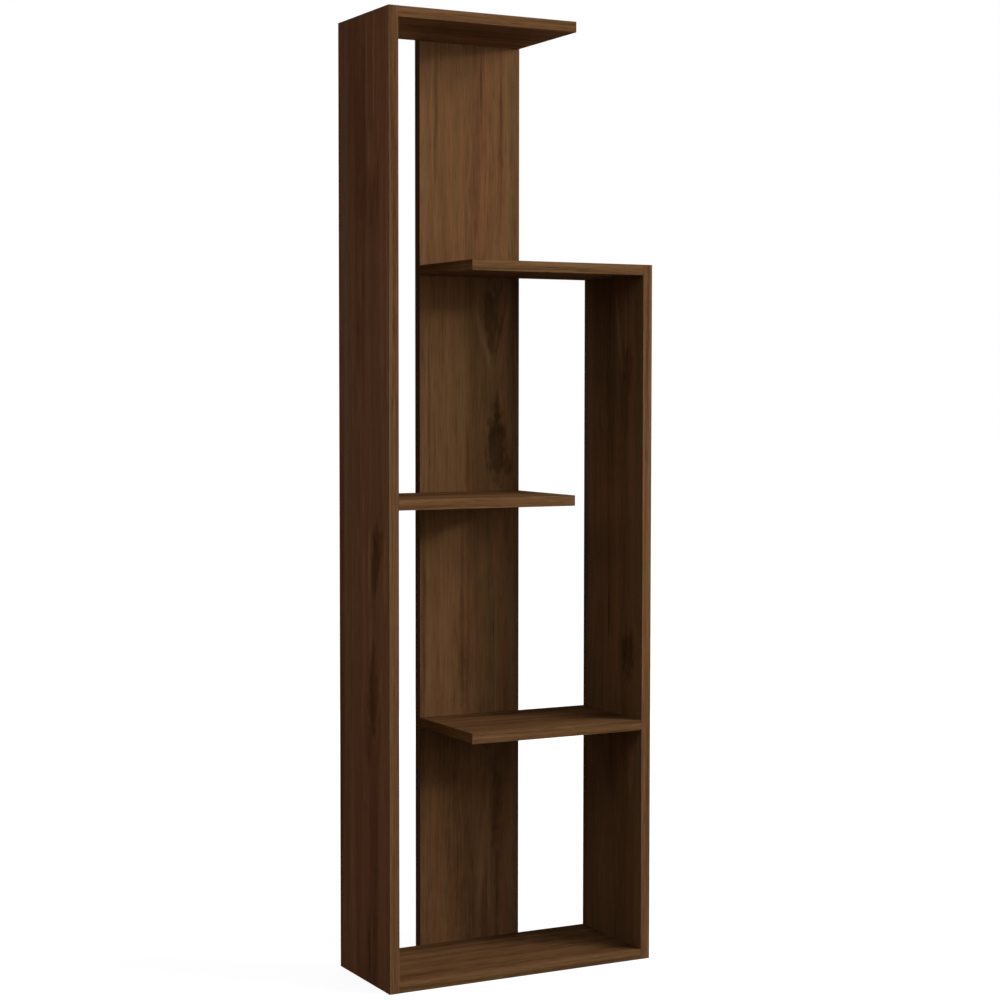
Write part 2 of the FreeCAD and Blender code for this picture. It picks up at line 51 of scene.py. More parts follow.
MM_PER_M = 1000

FLOAT = "NodeSocketFloat"
VECTOR = "NodeSocketVector"
COLOUR = "NodeSocketColor"


# Nodes and colours

def linear(colour):
    """An sRGB hex colour as the linear colour that a node takes."""
    shares = [int(colour[i:i + 2], 16) / 255 for i in (1, 3, 5)]
    curve = [c / 12.92 if c <= 0.04045 else ((c + 0.055) / 1.055) ** 2.4 for c in shares]
    return (*curve, 1.0)


def add(tree, kind, inputs=None, stops=None, **settings):
    """Adds a node with its settings, and its inputs' values or the sockets that feed them.

    A colour ramp's stops are places and colours, its two ends first.
    """
    node = tree.nodes.new(kind)
    for name, setting in settings.items():
        setattr(node, name, setting)
    for name, value in (inputs or {}).items():
        if isinstance(value, bpy.types.NodeSocket):
            tree.links.new(value, node.inputs[name])
        else:
            node.inputs[name].default_value = value
    for number, (place, colour) in enumerate(stops or ()):
        elements = node.color_ramp.elements
        element = elements[number] if number < 2 else elements.new(place)
        element.position = place
        element.color = linear(colour)
    return node


def new_material(name):
    """An empty node material, and its shader and output joined up."""
    material = bpy.data.materials.new(name)
    material.use_nodes = True
    tree = material.node_tree
    tree.nodes.clear()
    shader = add(tree, "ShaderNodeBsdfPrincipled")
    add(tree, "ShaderNodeOutputMaterial", {"Surface": shader.outputs["BSDF"]})
    return material, tree, shader


def new_group(name, kind, inputs, outputs):
    """A node group with named inputs and outputs, each a socket type, and its two end nodes' sockets."""
    tree = bpy.data.node_groups.new(name, kind)
    for label, socket_type in inputs.items():
        tree.interface.new_socket(label, in_out="INPUT", socket_type=socket_type)
    for label, socket_type in outputs.items():
        tree.interface.new_socket(label, in_out="OUTPUT", socket_type=socket_type)
    return tree, add(tree, "NodeGroupInput").outputs, add(tree, "NodeGroupOutput").inputs


# Walnut decor

# A paper print under melamine, pressed on chipboard, and the same print on the edge bands. It shows long
# soft streaks in olive and warm browns, thin dark pore lines, and here and there a dark knot or the pale
# arms of a flame. Its face is dead matt.

# How a piece lies: the axes across and along its grain, and the way its shown side faces
Lay = namedtuple("Lay", "across along shown")

# How a piece's print is cut: the width and length of its streaks in millimetres, how strong they are, and
# how much warmer and lighter than the middle brown it is on the shown side
Print = namedtuple("Print", "width length contrast warmth tone")

# A mark of the print, or a patch of painted shade, in millimetres: its middle across and along the board,
# its half width and length, how much darker (below 0) or paler it is, how it widens and leans upwards, how
# soft its edge is and how much warmer it is
Mark = namedtuple(
    "Mark",
    "across along half_width half_length shade taper lean soft warmth",
    defaults=(0.0, 0.0, 0.4, 0.0),
)

# A mark's edge wavers by this share of its size, in ripples of this size; thin marks have a smoother edge
RAG = 1.5
RAG_ACROSS = 10
RAG_ALONG = 20
RAG_OCTAVES = 3.0
RAG_FROM_WIDTH = 15
# The grain runs round wide marks with a clear edge, out to this many times their size
BEND_FROM_WIDTH = 10
BEND_TO_SOFT = 0.5
BEND_FROM = 0.8
BEND_REACH = 2.6
BEND_STRENGTH = 0.5

# The streaks sway sideways by this much, over stretches of this size
WANDER = 14
WANDER_ACROSS = 85
WANDER_ALONG = 520
WANDER_OCTAVES = 2.0
# Each layer of the grain: how many times finer it is than the main streaks across and along, its octaves
# and its share
GRAIN_LAYERS = (
    (0.3, 0.6, 1.0, 0.5),
    (1.0, 1.6, 3.0, 0.58),
    (4.5, 15.0, 3.0, 0.46),
)
# Warm and olive bands: how many times wider and longer they are than the streaks, their octaves and how
# strong the fine ones are, and how far they swing
WARMTH_ACROSS = 1.2
WARMTH_ALONG = 1.6
WARMTH_OCTAVES = 5.0
WARMTH_FINENESS = 0.75
WARMTH_FROM = 0.18
WARMTH_TO = 0.82
# A pore of walnut is 0.2 mm wide; it is drawn ten times as wide to show from a few metres away
PORE_ACROSS = 2.0
PORE_ALONG = 45
PORE_OCTAVES = 1.0
PORE_FROM = 0.58
PORE_TO = 0.74
PORE_SHADE = 0.15

MIDDLE_TONE = 0.5
OLIVE_WALNUT = ((0.0, "#392917"), (1.0, "#8e7450"), (0.25, "#503b24"), (0.5, "#674f32"), (0.75, "#775d3f"))
WARM_WALNUT = ((0.0, "#412719"), (1.0, "#9c7150"), (0.25, "#5a3723"), (0.5, "#754a31"), (0.75, "#875a3e"))


def make_mark_group():
    """How far inside a mark of the print or of painted shade a point lies, and how far it pushes the grain
    aside.
    """
    tree, given, result = new_group(
        "walnut_mark", "ShaderNodeTree",
        {"Board": VECTOR, "Rag": FLOAT, "Ragged": FLOAT, "Across": FLOAT, "Along": FLOAT,
         "Half width": FLOAT, "Half length": FLOAT, "Taper": FLOAT, "Lean": FLOAT, "Soft": FLOAT},
        {"Inside": FLOAT, "Push": FLOAT},
    )
    place = add(tree, "ShaderNodeSeparateXYZ", {0: given["Board"]}).outputs
    ahead = add(tree, "ShaderNodeMath", {0: place["Z"], 1: given["Along"]}, operation="SUBTRACT").outputs[0]
    leaning = {0: ahead, 1: given["Lean"], 2: given["Across"]}
    middle = add(tree, "ShaderNodeMath", leaning, operation="MULTIPLY_ADD").outputs[0]
    aside = add(tree, "ShaderNodeMath", {0: place["X"], 1: middle}, operation="SUBTRACT").outputs[0]
    up = add(tree, "ShaderNodeMath", {0: ahead, 1: given["Half length"]}, operation="DIVIDE").outputs[0]
    kept_up = add(tree, "ShaderNodeClamp", {"Value": up, "Min": -1.0, "Max": 1.0}).outputs[0]
    tapering = {0: kept_up, 1: given["Taper"], 2: 1.0}
    widening = add(tree, "ShaderNodeMath", tapering, operation="MULTIPLY_ADD").outputs[0]
    widened = {0: given["Half width"], 1: widening}
    half = add(tree, "ShaderNodeMath", widened, operation="MULTIPLY").outputs[0]
    out = add(tree, "ShaderNodeMath", {0: aside, 1: half}, operation="DIVIDE").outputs[0]
    both = add(tree, "ShaderNodeCombineXYZ", {"X": out, "Y": up}).outputs[0]
    far = add(tree, "ShaderNodeVectorMath", {0: both}, operation="LENGTH").outputs["Value"]

    wavering = {0: given["Rag"], 1: given["Ragged"], 2: far}
    reach = add(tree, "ShaderNodeMath", wavering, operation="MULTIPLY_ADD").outputs[0]
    outer = add(tree, "ShaderNodeMath", {0: 1.0, 1: given["Soft"]}, operation="ADD").outputs[0]
    inner = add(tree, "ShaderNodeMath", {0: 1.0, 1: given["Soft"]}, operation="SUBTRACT").outputs[0]
    fading = {"Value": reach, "From Min": outer, "From Max": inner}
    inside = add(tree, "ShaderNodeMapRange", fading, interpolation_type="SMOOTHSTEP").outputs[0]
    tree.links.new(inside, result["Inside"])

    bending = {"Value": far, "From Min": BEND_REACH, "From Max": BEND_FROM, "To Max": -BEND_STRENGTH}
    bend = add(tree, "ShaderNodeMapRange", bending, interpolation_type="SMOOTHSTEP").outputs[0]
    push = add(tree, "ShaderNodeMath", {0: aside, 1: bend}, operation="MULTIPLY").outputs[0]
    tree.links.new(push, result["Push"])
    return tree


def make_grain_group():
    """The print's streaks, warm bands and pores, on a board in millimetres with Z along the grain."""
    tree, given, result = new_group(
        "walnut_grain", "ShaderNodeTree",
        {"Board": VECTOR, "Push": FLOAT, "Streak width": FLOAT, "Streak length": FLOAT},
        {"Tone": FLOAT, "Warmth": FLOAT, "Pores": FLOAT},
    )
    wide = (1 / WANDER_ACROSS, 1 / WANDER_ACROSS, 1 / WANDER_ALONG)
    slow = add(tree, "ShaderNodeVectorMath", {0: given["Board"], 1: wide}, operation="MULTIPLY").outputs[0]
    sway = {"Vector": slow, "Scale": 1.0, "Detail": WANDER_OCTAVES}
    drift = add(tree, "ShaderNodeTexNoise", sway).outputs[0]
    swaying = {0: drift, 1: WANDER, 2: given["Push"]}
    swing = add(tree, "ShaderNodeMath", swaying, operation="MULTIPLY_ADD").outputs[0]
    shift = add(tree, "ShaderNodeCombineXYZ", {"X": swing}).outputs[0]
    moved = add(tree, "ShaderNodeVectorMath", {0: given["Board"], 1: shift}, operation="ADD").outputs[0]

    size = {"X": given["Streak width"], "Y": given["Streak width"], "Z": given["Streak length"]}
    streak = add(tree, "ShaderNodeCombineXYZ", size).outputs[0]
    laid = add(tree, "ShaderNodeVectorMath", {0: moved, 1: streak}, operation="DIVIDE").outputs[0]
    tone = -sum(share for *_, share in GRAIN_LAYERS) / 2
    for across, along, octaves, share in GRAIN_LAYERS:
        finer = {0: laid, 1: (across, across, along)}
        layer = add(tree, "ShaderNodeVectorMath", finer, operation="MULTIPLY").outputs[0]
        streaks = {"Vector": layer, "Scale": 1.0, "Detail": octaves}
        noise = add(tree, "ShaderNodeTexNoise", streaks).outputs[0]
        added = {0: noise, 1: share, 2: tone}
        tone = add(tree, "ShaderNodeMath", added, operation="MULTIPLY_ADD").outputs[0]
    tree.links.new(tone, result["Tone"])

    broad = (1 / WARMTH_ACROSS, 1 / WARMTH_ACROSS, 1 / WARMTH_ALONG)
    bands = add(tree, "ShaderNodeVectorMath", {0: laid, 1: broad}, operation="MULTIPLY").outputs[0]
    many_lines = {"Vector": bands, "Scale": 1.0, "Detail": WARMTH_OCTAVES, "Roughness": WARMTH_FINENESS}
    hue = add(tree, "ShaderNodeTexNoise", many_lines).outputs[0]
    swung = {"Value": hue, "From Min": WARMTH_FROM, "From Max": WARMTH_TO}
    tree.links.new(add(tree, "ShaderNodeMapRange", swung).outputs[0], result["Warmth"])

    small = (1 / PORE_ACROSS, 1 / PORE_ACROSS, 1 / PORE_ALONG)
    dashes = add(tree, "ShaderNodeVectorMath", {0: moved, 1: small}, operation="MULTIPLY").outputs[0]
    lines = {"Vector": dashes, "Scale": 1.0, "Detail": PORE_OCTAVES}
    flecks = add(tree, "ShaderNodeTexNoise", lines).outputs[0]
    darkest = {"Value": flecks, "From Min": PORE_FROM, "From Max": PORE_TO}
    tree.links.new(add(tree, "ShaderNodeMapRange", darkest).outputs[0], result["Pores"])
    return tree


# Raw chipboard: the sizes of a pressed chip in millimetres, and its tans
CHIP_ACROSS = 2.6
CHIP_ALONG = 5.0
CHIP_COLOURS = ((0.0, "#6b4f33"), (1.0, "#c3a478"), (0.5, "#9b7c55"))


def make_chipboard_group():
    """The raw cut edge of chipboard: pressed chips of a few millimetres in pale and dark tans."""
    tree, given, result = new_group(
        "raw_chipboard", "ShaderNodeTree", {"Board": VECTOR}, {"Color": COLOUR, "Height": FLOAT})
    size = (1 / CHIP_ALONG, 1 / CHIP_ACROSS, 1 / CHIP_ALONG)
    chips = add(tree, "ShaderNodeVectorMath", {0: given["Board"], 1: size}, operation="MULTIPLY").outputs[0]
    cells = add(tree, "ShaderNodeTexVoronoi", {"Vector": chips, "Scale": 1.0}).outputs
    lightness = add(tree, "ShaderNodeSeparateColor", {0: cells["Color"]}).outputs[0]
    colour = add(tree, "ShaderNodeValToRGB", {"Fac": lightness}, CHIP_COLOURS).outputs["Color"]
    tree.links.new(colour, result["Color"])
    tree.links.new(cells["Distance"], result["Height"])
    return tree


mark_group = make_mark_group()
grain_group = make_grain_group()
chipboard_group = make_chipboard_group()

# Each sheet or roll of the print has grain of its own, and the other side of a piece carries another length
# of it
SHEET_STEP = 400
FACE_STEP = 430
OTHER_SIDE = -0.1
# Faces turned this far away from the printed sides show what is under the print
CORE_FROM = 0.75
CORE_TO = 0.5
BAND_BROWN = "#5d4029"
PRINT_ROUGHNESS = 0.6
PORE_ROUGHNESS = 0.8
CORE_ROUGHNESS = 0.9
RELIEF_MM = 0.1
RELIEF_STRENGTH = 0.25
# Even a faint gloss would lay a pale haze over the boards and caps where they are seen at a slant
GLOSS = 0.0


def lay_board(tree, lay, sheet):
    """Where a point lies on its board in millimetres, if on its shown side, and how far its core shows."""
    turn = Matrix((lay.across, lay.along.cross(lay.across), lay.along)).to_euler()
    texture = add(tree, "ShaderNodeTexCoord").outputs
    given = {"Vector": texture["Object"], "Rotation": turn, "Scale": (MM_PER_M,) * 3,
             "Location": (0, sheet * SHEET_STEP, 0)}
    laid = add(tree, "ShaderNodeMapping", given).outputs[0]
    outward = {0: texture["Normal"], 1: lay.shown}
    facing = add(tree, "ShaderNodeVectorMath", outward, operation="DOT_PRODUCT").outputs["Value"]
    other = add(tree, "ShaderNodeMath", {0: facing, 1: OTHER_SIDE}, operation="LESS_THAN").outputs[0]
    on_shown = add(tree, "ShaderNodeMath", {0: 1.0, 1: other}, operation="SUBTRACT").outputs[0]
    further = {0: (0, 0, FACE_STEP), "Scale": other}
    step = add(tree, "ShaderNodeVectorMath", further, operation="SCALE").outputs[0]
    board = add(tree, "ShaderNodeVectorMath", {0: laid, 1: step}, operation="ADD").outputs[0]
    square = add(tree, "ShaderNodeMath", {0: facing}, operation="ABSOLUTE").outputs[0]
    turned_away = {"Value": square, "From Min": CORE_FROM, "From Max": CORE_TO}
    core = add(tree, "ShaderNodeMapRange", turned_away).outputs[0]
    return board, on_shown, core


def draw_marks(tree, board, marks):
    """Adds up the tones and warmths of a board's marks, and how they push the grain aside."""
    tone = MIDDLE_TONE
    warmth = push = 0.0
    if not marks:
        return tone, warmth, push
    size = (1 / RAG_ACROSS, 1 / RAG_ACROSS, 1 / RAG_ALONG)
    fine = add(tree, "ShaderNodeVectorMath", {0: board, 1: size}, operation="MULTIPLY").outputs[0]
    ripples = {"Vector": fine, "Scale": 1.0, "Detail": RAG_OCTAVES}
    noise = add(tree, "ShaderNodeTexNoise", ripples).outputs[0]
    rag = add(tree, "ShaderNodeMath", {0: noise, 1: 2 * RAG, 2: -RAG}, operation="MULTIPLY_ADD").outputs[0]
    for mark in marks:
        ragged = (1 - mark.soft) * min(1.0, mark.half_width / RAG_FROM_WIDTH)
        given = {"Board": board, "Rag": rag, "Ragged": ragged, "Across": mark.across, "Along": mark.along,
                 "Half width": mark.half_width, "Half length": mark.half_length, "Taper": mark.taper,
                 "Lean": mark.lean, "Soft": mark.soft}
        drawn = add(tree, "ShaderNodeGroup", given, node_tree=mark_group).outputs
        shaded = {0: drawn["Inside"], 1: mark.shade, 2: tone}
        tone = add(tree, "ShaderNodeMath", shaded, operation="MULTIPLY_ADD").outputs[0]
        if mark.warmth:
            warmed = {0: drawn["Inside"], 1: mark.warmth, 2: warmth}
            warmth = add(tree, "ShaderNodeMath", warmed, operation="MULTIPLY_ADD").outputs[0]
        if mark.half_width >= BEND_FROM_WIDTH and mark.soft <= BEND_TO_SOFT:
            push = add(tree, "ShaderNodeMath", {0: drawn["Push"], 1: push}, operation="ADD").outputs[0]
    return tone, warmth, push


def print_decor(tree, board, on_shown, cut, marks):
    """The print's colour at a point of a board, darker where a mark is painted shade, and the pores pressed
    into it.
    """
    tone, warmth, push = draw_marks(tree, board, marks)
    given = {"Board": board, "Push": push, "Streak width": cut.width, "Streak length": cut.length}
    grain = add(tree, "ShaderNodeGroup", given, node_tree=grain_group).outputs
    tones = ((on_shown, cut.tone), (grain["Tone"], cut.contrast), (grain["Pores"], -PORE_SHADE))
    for part, strength in tones:
        share = {0: part, 1: strength, 2: tone}
        tone = add(tree, "ShaderNodeMath", share, operation="MULTIPLY_ADD").outputs[0]
    for part, strength in ((on_shown, cut.warmth), (grain["Warmth"], 1.0)):
        share = {0: part, 1: strength, 2: warmth}
        warmth = add(tree, "ShaderNodeMath", share, operation="MULTIPLY_ADD").outputs[0]
    olive = add(tree, "ShaderNodeValToRGB", {"Fac": tone}, OLIVE_WALNUT).outputs["Color"]
    warm = add(tree, "ShaderNodeValToRGB", {"Fac": tone}, WARM_WALNUT).outputs["Color"]
    colour = add(tree, "ShaderNodeMix", {0: warmth, 6: olive, 7: warm}, data_type="RGBA").outputs[2]
    return colour, grain["Pores"]


def walnut(name, lay, sheet, cut, marks=(), chipboard=False):
    """Walnut decor with its grain along one axis, over chipboard or, on an edge band, brown plastic."""
    material, tree, shader = new_material(name)
    board, on_shown, core = lay_board(tree, lay, sheet)
    printed, pores = print_decor(tree, board, on_shown, cut, marks)
    under = linear(BAND_BROWN)
    height = pores
    if chipboard:
        raw = add(tree, "ShaderNodeGroup", {"Board": board}, node_tree=chipboard_group).outputs
        under = raw["Color"]
        height = add(tree, "ShaderNodeMix", {0: core, 2: pores, 3: raw["Height"]}).outputs[0]
    colour = add(tree, "ShaderNodeMix", {0: core, 6: printed, 7: under}, data_type="RGBA").outputs[2]
    dulled = {"Value": pores, "To Min": PRINT_ROUGHNESS, "To Max": PORE_ROUGHNESS}
    dull = add(tree, "ShaderNodeMapRange", dulled).outputs[0]
    rough = add(tree, "ShaderNodeMix", {0: core, 2: dull, 3: CORE_ROUGHNESS}).outputs[0]
    pressed = {"Height": height, "Strength": RELIEF_STRENGTH, "Distance": RELIEF_MM / MM_PER_M}
    relief = add(tree, "ShaderNodeBump", pressed, invert=True).outputs[0]
    tree.links.new(colour, shader.inputs["Base Color"])
    tree.links.new(rough, shader.inputs["Roughness"])
    tree.links.new(relief, shader.inputs["Normal"])
    shader.inputs["Specular IOR Level"].default_value = GLOSS
    return material


# Prints of the boards and bands: the left side's is the warmest, and the bands' streaks are the finest
LEFT_PRINT = Print(17, 900, 1.0, warmth=0.4, tone=0.13)
RIGHT_PRINT = Print(17, 900, 0.75, warmth=-0.18, tone=0.0)
BACK_PRINT = Print(17, 900, 0.95, warmth=-0.17, tone=0.01)
FLAT_PRINT = Print(14, 600, 1.25, warmth=-0.12, tone=-0.01)
# The bottom panel's print is the flat print made darker all over: painted shade for the lowest board
BOTTOM_SHADED_PRINT = FLAT_PRINT._replace(tone=-0.07)
UPRIGHT_BAND_PRINT = Print(5, 700, 1.6, warmth=-0.15, tone=0.02)
LEVEL_BAND_PRINT = Print(5, 500, 1.5, warmth=-0.15, tone=-0.08)
END_BAND_PRINT = Print(5, 700, 1.2, warmth=-0.45, tone=-0.07)

# Marks of the upright boards: knots, flames with pale arms, soft shadows in the print and long thin lines,
# and on the back panel painted shade under two shelves and over its lowest bay
LEFT_MARKS = (
    # Two knots and the paler grain round them
    Mark(-58, 712, 17, 57, -0.36, taper=0.35, lean=-0.15, soft=0.45),
    Mark(-33, 700, 7, 60, 0.16),
    Mark(-92, 690, 6, 70, 0.14),
    Mark(-47, 500, 18, 72, -0.26, taper=-0.55, soft=0.45),
    Mark(-68, 470, 5, 60, 0.16, lean=-0.2),
    Mark(-36, 590, 7, 40, 0.14),
    Mark(-28, 400, 12, 30, -0.14, soft=0.7),
    # The pale arms of a flame near the top
    Mark(-24, 1510, 4, 95, 0.2),
    Mark(-53, 1510, 4, 95, 0.2),
    Mark(-42, 1365, 13, 45, 0.14, taper=0.4, soft=0.6),
    # Dark lines and soft shadows
    Mark(14, 1460, 36, 170, -0.16, soft=0.7),
    Mark(-68, 1320, 4, 60, -0.2, soft=0.6),
    Mark(8, 1075, 9, 60, -0.18, soft=0.6),
    Mark(12, 840, 6, 70, -0.14, soft=0.6),
    Mark(78, 790, 7, 110, -0.16, soft=0.7),
    Mark(-28, 65, 3, 50, -0.25),
    Mark(60, 250, 12, 180, -0.12, soft=0.7),
    Mark(-9, 340, 14, 110, -0.09, soft=0.8),
    Mark(-6, 1260, 22, 240, -0.16, soft=0.8),
    Mark(-38, 1302, 26, 45, -0.12, soft=0.8),
    Mark(92, 600, 14, 600, -0.14, soft=0.8),
    Mark(90, 330, 12, 260, -0.15, soft=0.8),
    # Paler stretches
    Mark(40, 840, 22, 200, 0.1, soft=0.8),
    Mark(-106, 1300, 8, 330, 0.1, soft=0.8),
    # An olive band towards the rear and a warm one along the front
    Mark(52, 950, 28, 420, 0.07, soft=0.7, warmth=-0.35),
    Mark(-90, 800, 25, 900, 0.13, soft=0.8, warmth=0.4),
)
RIGHT_MARKS = (
    # Two knots
    Mark(-64, 530, 19, 40, -0.28, soft=0.5),
    Mark(-63, 1035, 14, 38, -0.2, soft=0.5, warmth=0.4),
    # Pale arms above and between them
    Mark(-52, 1110, 4, 55, 0.2),
    Mark(-28, 1100, 5, 70, 0.2, lean=0.15),
    Mark(-75, 325, 10, 40, 0.18, taper=0.4),
    # A dark line, soft shadows and paler stretches
    Mark(2, 600, 3, 45, -0.26),
    Mark(30, 1080, 22, 120, -0.12, soft=0.7),
    Mark(-12, 1010, 29, 170, -0.21, soft=0.8),
    Mark(-55, 970, 22, 45, -0.1, soft=0.8),
    Mark(-10, 330, 16, 60, -0.12, soft=0.7),
    Mark(90, 650, 12, 600, -0.13, soft=0.8),
    Mark(42, 690, 26, 85, 0.19, soft=0.8),
    Mark(36, 230, 15, 150, 0.08, soft=0.8),
    # A warm stretch
    Mark(5, 720, 40, 220, 0.0, soft=0.8, warmth=0.18),
)
BACK_MARKS_AND_PAINTED_SHADE = (
    # A flame with a dark heart, one pale arm and one dark arm
    Mark(44, 1115, 15, 60, -0.22, taper=0.4, soft=0.4),
    Mark(25, 1085, 6, 45, 0.2, lean=-0.28, soft=0.6),
    Mark(62, 1105, 3, 50, -0.2, lean=0.22, soft=0.6),
    Mark(70, 1100, 5, 60, 0.12, lean=0.12, soft=0.7),
    Mark(36, 1020, 2, 45, 0.12),
    # A knot with a tail above it
    Mark(53, 895, 18, 56, -0.4, soft=0.5, warmth=-0.3),
    Mark(54, 957, 6, 28, -0.22, soft=0.5),
    Mark(74, 860, 8, 17, -0.25),
    # A second flame near the floor
    Mark(50, 255, 10, 75, -0.15, taper=0.2, soft=0.5, warmth=0.2),
    Mark(29, 190, 8, 100, 0.2, lean=0.08, soft=0.5),
    Mark(38, 130, 3, 80, 0.16),
    Mark(54, 100, 3, 80, -0.1, soft=0.6),
    # Wide soft shadows in the print, and three marks of painted shade under the shelves
    Mark(-5, 140, 32, 170, -0.13, soft=0.8),
    # Painted shade (this mark): darkens the whole lowest bay, under the lower right shelf
    Mark(-30, 180, 100, 240, -0.12, soft=0.6),
    Mark(-35, 230, 17, 130, -0.14, soft=0.8),
    # Painted shadow (this mark): a band just under the lower right shelf
    Mark(-25, 290, 60, 25, -0.08, soft=0.8),
    Mark(-20, 515, 17, 85, -0.13, soft=0.8),
    Mark(5, 600, 30, 180, -0.06, soft=0.8),
    # Painted shadow (this mark): under the middle left shelf, towards its right end
    Mark(56, 740, 16, 55, -0.12, soft=0.8),
    Mark(43, 970, 14, 60, -0.12, soft=0.7),
    Mark(34, 1370, 16, 230, -0.1, soft=0.8),
    Mark(35, 1400, 55, 220, -0.09, soft=0.8),
    # Paler stretches
    Mark(-92, 160, 10, 100, 0.08, soft=0.8),
    Mark(78, 580, 8, 100, 0.1, soft=0.8),
    Mark(-49, 1060, 8, 150, 0.11, soft=0.8),
    Mark(70, 1150, 10, 40, 0.1, soft=0.8),
    Mark(6, 1430, 7, 180, 0.06, soft=0.8),
    Mark(-42, 1410, 12, 230, 0.11, soft=0.8),
    Mark(-80, 1400, 20, 220, 0.06, soft=0.8),
    # Long dark lines
    Mark(-67, 1470, 4, 130, -0.18, soft=0.6),
    Mark(22, 1530, 2, 55, -0.2, soft=0.6),
    Mark(62, 1460, 3, 140, -0.16, soft=0.6),
    Mark(-80, 940, 3, 120, -0.16, soft=0.6),
    Mark(-5, 880, 3, 60, -0.16, soft=0.6),
    Mark(-90, 610, 4, 180, -0.2, soft=0.6),
    Mark(-15, 600, 4, 160, -0.2, soft=0.6),
    Mark(47, 545, 2, 110, -0.18, soft=0.6),
    # A warm stretch near the top and an olive one below it
    Mark(20, 1390, 40, 190, 0.0, soft=0.8, warmth=0.25),
    Mark(-50, 980, 36, 170, 0.0, soft=0.8, warmth=-0.18),
)
# Soft streaks in the print of two flat boards, and painted shade at their rear right, beside the right side
# panel
FLAT_MARKS_AND_PAINTED_SHADE = {
    "bottom_panel": (
        Mark(-25, -60, 20, 260, -0.12, soft=0.8),
        Mark(-88, -100, 18, 200, 0.08, soft=0.8),
        Mark(28, -90, 22, 100, 0.07, soft=0.8),
        # Painted shadow (this mark): the rear right of the bottom panel, where the right side panel shades
        # it
        Mark(45, 180, 60, 110, -0.17, soft=0.8),
    ),
    "lower_right_shelf": (
        Mark(-5, 10, 40, 160, 0.08, soft=0.8),
        # Painted shadow (this mark): the rear strip beside the right side panel
        Mark(88, 175, 16, 85, -0.2, soft=0.8),
    ),
}
# The uprights' bands are olive along the outer edge, warm along the middle, palest half way up and dark at
# the top, and two shelves' bands grow darker towards the right
BAND_MARKS = {
    "left_side": (
        Mark(-247, 800, 4, 1600, 0.0, soft=0.6, warmth=-0.2),
        Mark(-242, 800, 3, 1600, 0.0, soft=0.6, warmth=0.2),
        Mark(-245, 400, 6, 650, 0.1, soft=0.8),
        Mark(-243, 790, 10, 170, 0.09, soft=0.8),
        Mark(-240, 1480, 5, 300, -0.2, soft=0.6),
    ),
    "right_side": (
        Mark(235, 600, 3, 1200, 0.0, soft=0.6, warmth=-0.1),
        Mark(247, 600, 4, 1200, 0.0, soft=0.6, warmth=-0.3),
        Mark(241, 600, 4, 1200, 0.0, soft=0.6, warmth=0.35),
        Mark(236.5, 580, 5, 140, 0.15, soft=0.6),
        Mark(239, 1090, 6, 200, -0.21, soft=0.8),
    ),
    "middle_left_shelf": (
        Mark(806, 90, 30, 70, -0.09, soft=0.8),
        Mark(806, -200, 30, 90, 0.04, soft=0.8),
    ),
    "lower_right_shelf": (
        Mark(412, 220, 30, 100, -0.1, soft=0.8),
        Mark(412, -90, 30, 60, 0.08, soft=0.8),
    ),
}

# Boards: the grain runs up the uprights and along the flat boards
SIDE_WALL = Lay(Y_AXIS, Z_AXIS, -X_AXIS)
BACK_WALL = Lay(X_AXIS, Z_AXIS, -Y_AXIS)
FLAT = Lay(Y_AXIS, X_AXIS, Z_AXIS)
FLAT_BOARDS = ("bottom_panel", "top_shelf", "middle_left_shelf", "upper_right_shelf", "lower_right_shelf")
SHELVES = FLAT_BOARDS[1:]

node_materials = {
    "left_side_panel": walnut(
        "walnut_left_side", SIDE_WALL, sheet=1, cut=LEFT_PRINT, marks=LEFT_MARKS, chipboard=True),
    "right_side_panel": walnut(
        "walnut_right_side", SIDE_WALL, sheet=2, cut=RIGHT_PRINT, marks=RIGHT_MARKS, chipboard=True),
    "back_panel": walnut(
        "walnut_back", BACK_WALL, sheet=3, cut=BACK_PRINT, marks=BACK_MARKS_AND_PAINTED_SHADE, chipboard=True),
}
for sheet, board in enumerate(FLAT_BOARDS, start=4):
    cut = FLAT_PRINT if board in SHELVES else BOTTOM_SHADED_PRINT
    marks = FLAT_MARKS_AND_PAINTED_SHADE.get(board, ())
    node_materials[board] = walnut(f"walnut_{board}", FLAT, sheet, cut, marks, chipboard=True)

# Edge bands: cut along the grain from rolls of the same print
SIDE_TOP = Lay(X_AXIS, Y_AXIS, Z_AXIS)
LEVEL_EDGE = Lay(Z_AXIS, X_AXIS, -Y_AXIS)
SHELF_END = Lay(Z_AXIS, Y_AXIS, -X_AXIS)
# How much lighter each board's front and rear bands are than the other level bands
BAND_TONES = {
    "bottom_panel": 0.0, "top_shelf": -0.03, "middle_left_shelf": 0.0, "upper_right_shelf": 0.06,
    "lower_right_shelf": -0.05,
}

for sheet, side in enumerate(("left_side", "right_side"), start=10):
    upright = walnut(f"walnut_{side}_band", BACK_WALL, sheet, UPRIGHT_BAND_PRINT, BAND_MARKS[side])
    node_materials[f"{side}_front_band"] = upright
    node_materials[f"{side}_rear_band"] = upright
    top = walnut(f"walnut_{side}_top_band", SIDE_TOP, sheet, LEVEL_BAND_PRINT)
    node_materials[f"{side}_top_band"] = top

back_upright = walnut("walnut_back_band", SIDE_WALL, sheet=12, cut=END_BAND_PRINT)
node_materials["back_panel_left_band"] = back_upright
node_materials["back_panel_right_band"] = back_upright
back_top = walnut("walnut_back_top_band", FLAT, sheet=13, cut=LEVEL_BAND_PRINT)
node_materials["back_panel_top_band"] = back_top

